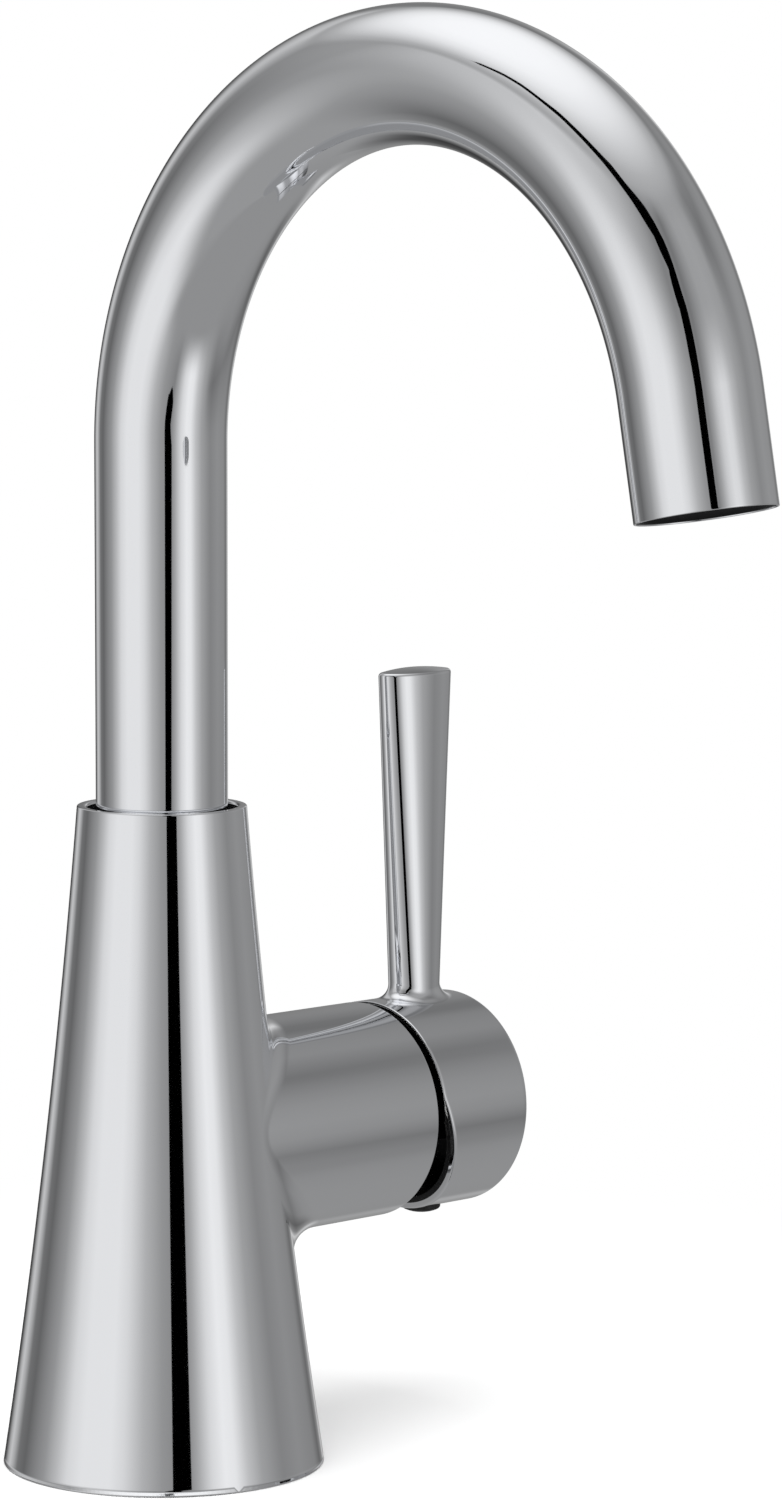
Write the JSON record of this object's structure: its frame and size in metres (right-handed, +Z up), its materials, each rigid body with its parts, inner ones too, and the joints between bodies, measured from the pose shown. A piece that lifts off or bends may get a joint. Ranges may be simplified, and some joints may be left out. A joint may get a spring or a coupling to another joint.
{
  "type": "bathroom sink faucet",
  "caption": "Single-lever basin faucet: tapered chrome body with a side boss, swivelling gooseneck spout, and a cap with a slim upright lever that tilts for flow and turns for temperature.",
  "frame": {"origin": "centre of the foot, on the deck's surface", "axes": "+Z up along the body's axis, -Y along the spout's reach, +X along the side boss to the handle"},
  "size_m": [0.1105, 0.1837, 0.3414],
  "materials": {
    "polished_chrome": "bright polished chrome plate",
    "raw_brass": "machined brass",
    "zinc_steel": "zinc plated or stainless steel",
    "white_plastic": "moulded acetal, satin",
    "grey_plastic": "moulded acetal, satin",
    "black_plastic": "moulded acetal, satin black",
    "red_plastic": "moulded acetal, red",
    "ceramic": "lapped alumina ceramic",
    "black_rubber": "nitrile rubber"
  },
  "bodies": {
    "body": {"body_shell": "polished_chrome", "manifold": "raw_brass", "manifold_screws": "zinc_steel", "base_plate": "white_plastic", "base_gasket": "black_rubber", "mounting_stud": "zinc_steel", "rubber_washer": "black_rubber", "mounting_bracket": "zinc_steel", "mounting_nut": "raw_brass", "inlet_filters": "zinc_steel", "swivel_bush": "polished_chrome", "cartridge_body": "white_plastic", "cartridge_base": "white_plastic", "cartridge_seals": "black_rubber", "fixed_disc": "ceramic", "retaining_nut": "raw_brass", "temperature_stop": "red_plastic", "dust_skirt": "black_plastic"},
    "turret": {"cartridge_rotor": "white_plastic", "pivot_pin": "zinc_steel"},
    "slider": {"moving_disc": "ceramic", "disc_carrier": "black_plastic"},
    "lever": {"cartridge_stem": "zinc_steel", "handle": "polished_chrome", "handle_insert": "white_plastic", "set_screw": "zinc_steel", "plug_button": "black_plastic"},
    "spout": {"spout_tube": "polished_chrome", "spout_shank": "raw_brass", "shank_rings": "black_rubber", "retaining_ring": "zinc_steel", "outlet_sleeve": "raw_brass", "aerator_housing": "black_plastic", "aerator_gasket": "black_rubber", "aerator_screen": "grey_plastic", "flow_regulator": "red_plastic"}
  },
  "joints": [
    {"name": "spout_swivel", "type": "hinge", "parent": "body", "child": "spout", "pos_m": [0, 0, 0.12], "axis": [0, 0, 1], "continuous": true},
    {"name": "temperature_turn", "type": "hinge", "parent": "body", "child": "turret", "pos_m": [0.052, 0, 0.06284], "axis": [1, 0, 0], "range_deg": [-45, 45]},
    {"name": "lever_tilt", "type": "hinge", "parent": "turret", "child": "lever", "pos_m": [0.052, 0, 0.06284], "axis": [0, 1, 0], "range_deg": [0, 20]},
    {"name": "disc_slide", "type": "slide", "parent": "turret", "child": "slider", "axis": [0, 0, 1], "range_m": [0, 0.0042]}
  ],
  "couplings": [
    {"joint": "disc_slide", "follows": "lever_tilt", "m_per_rad": 0.011758}
  ]
}
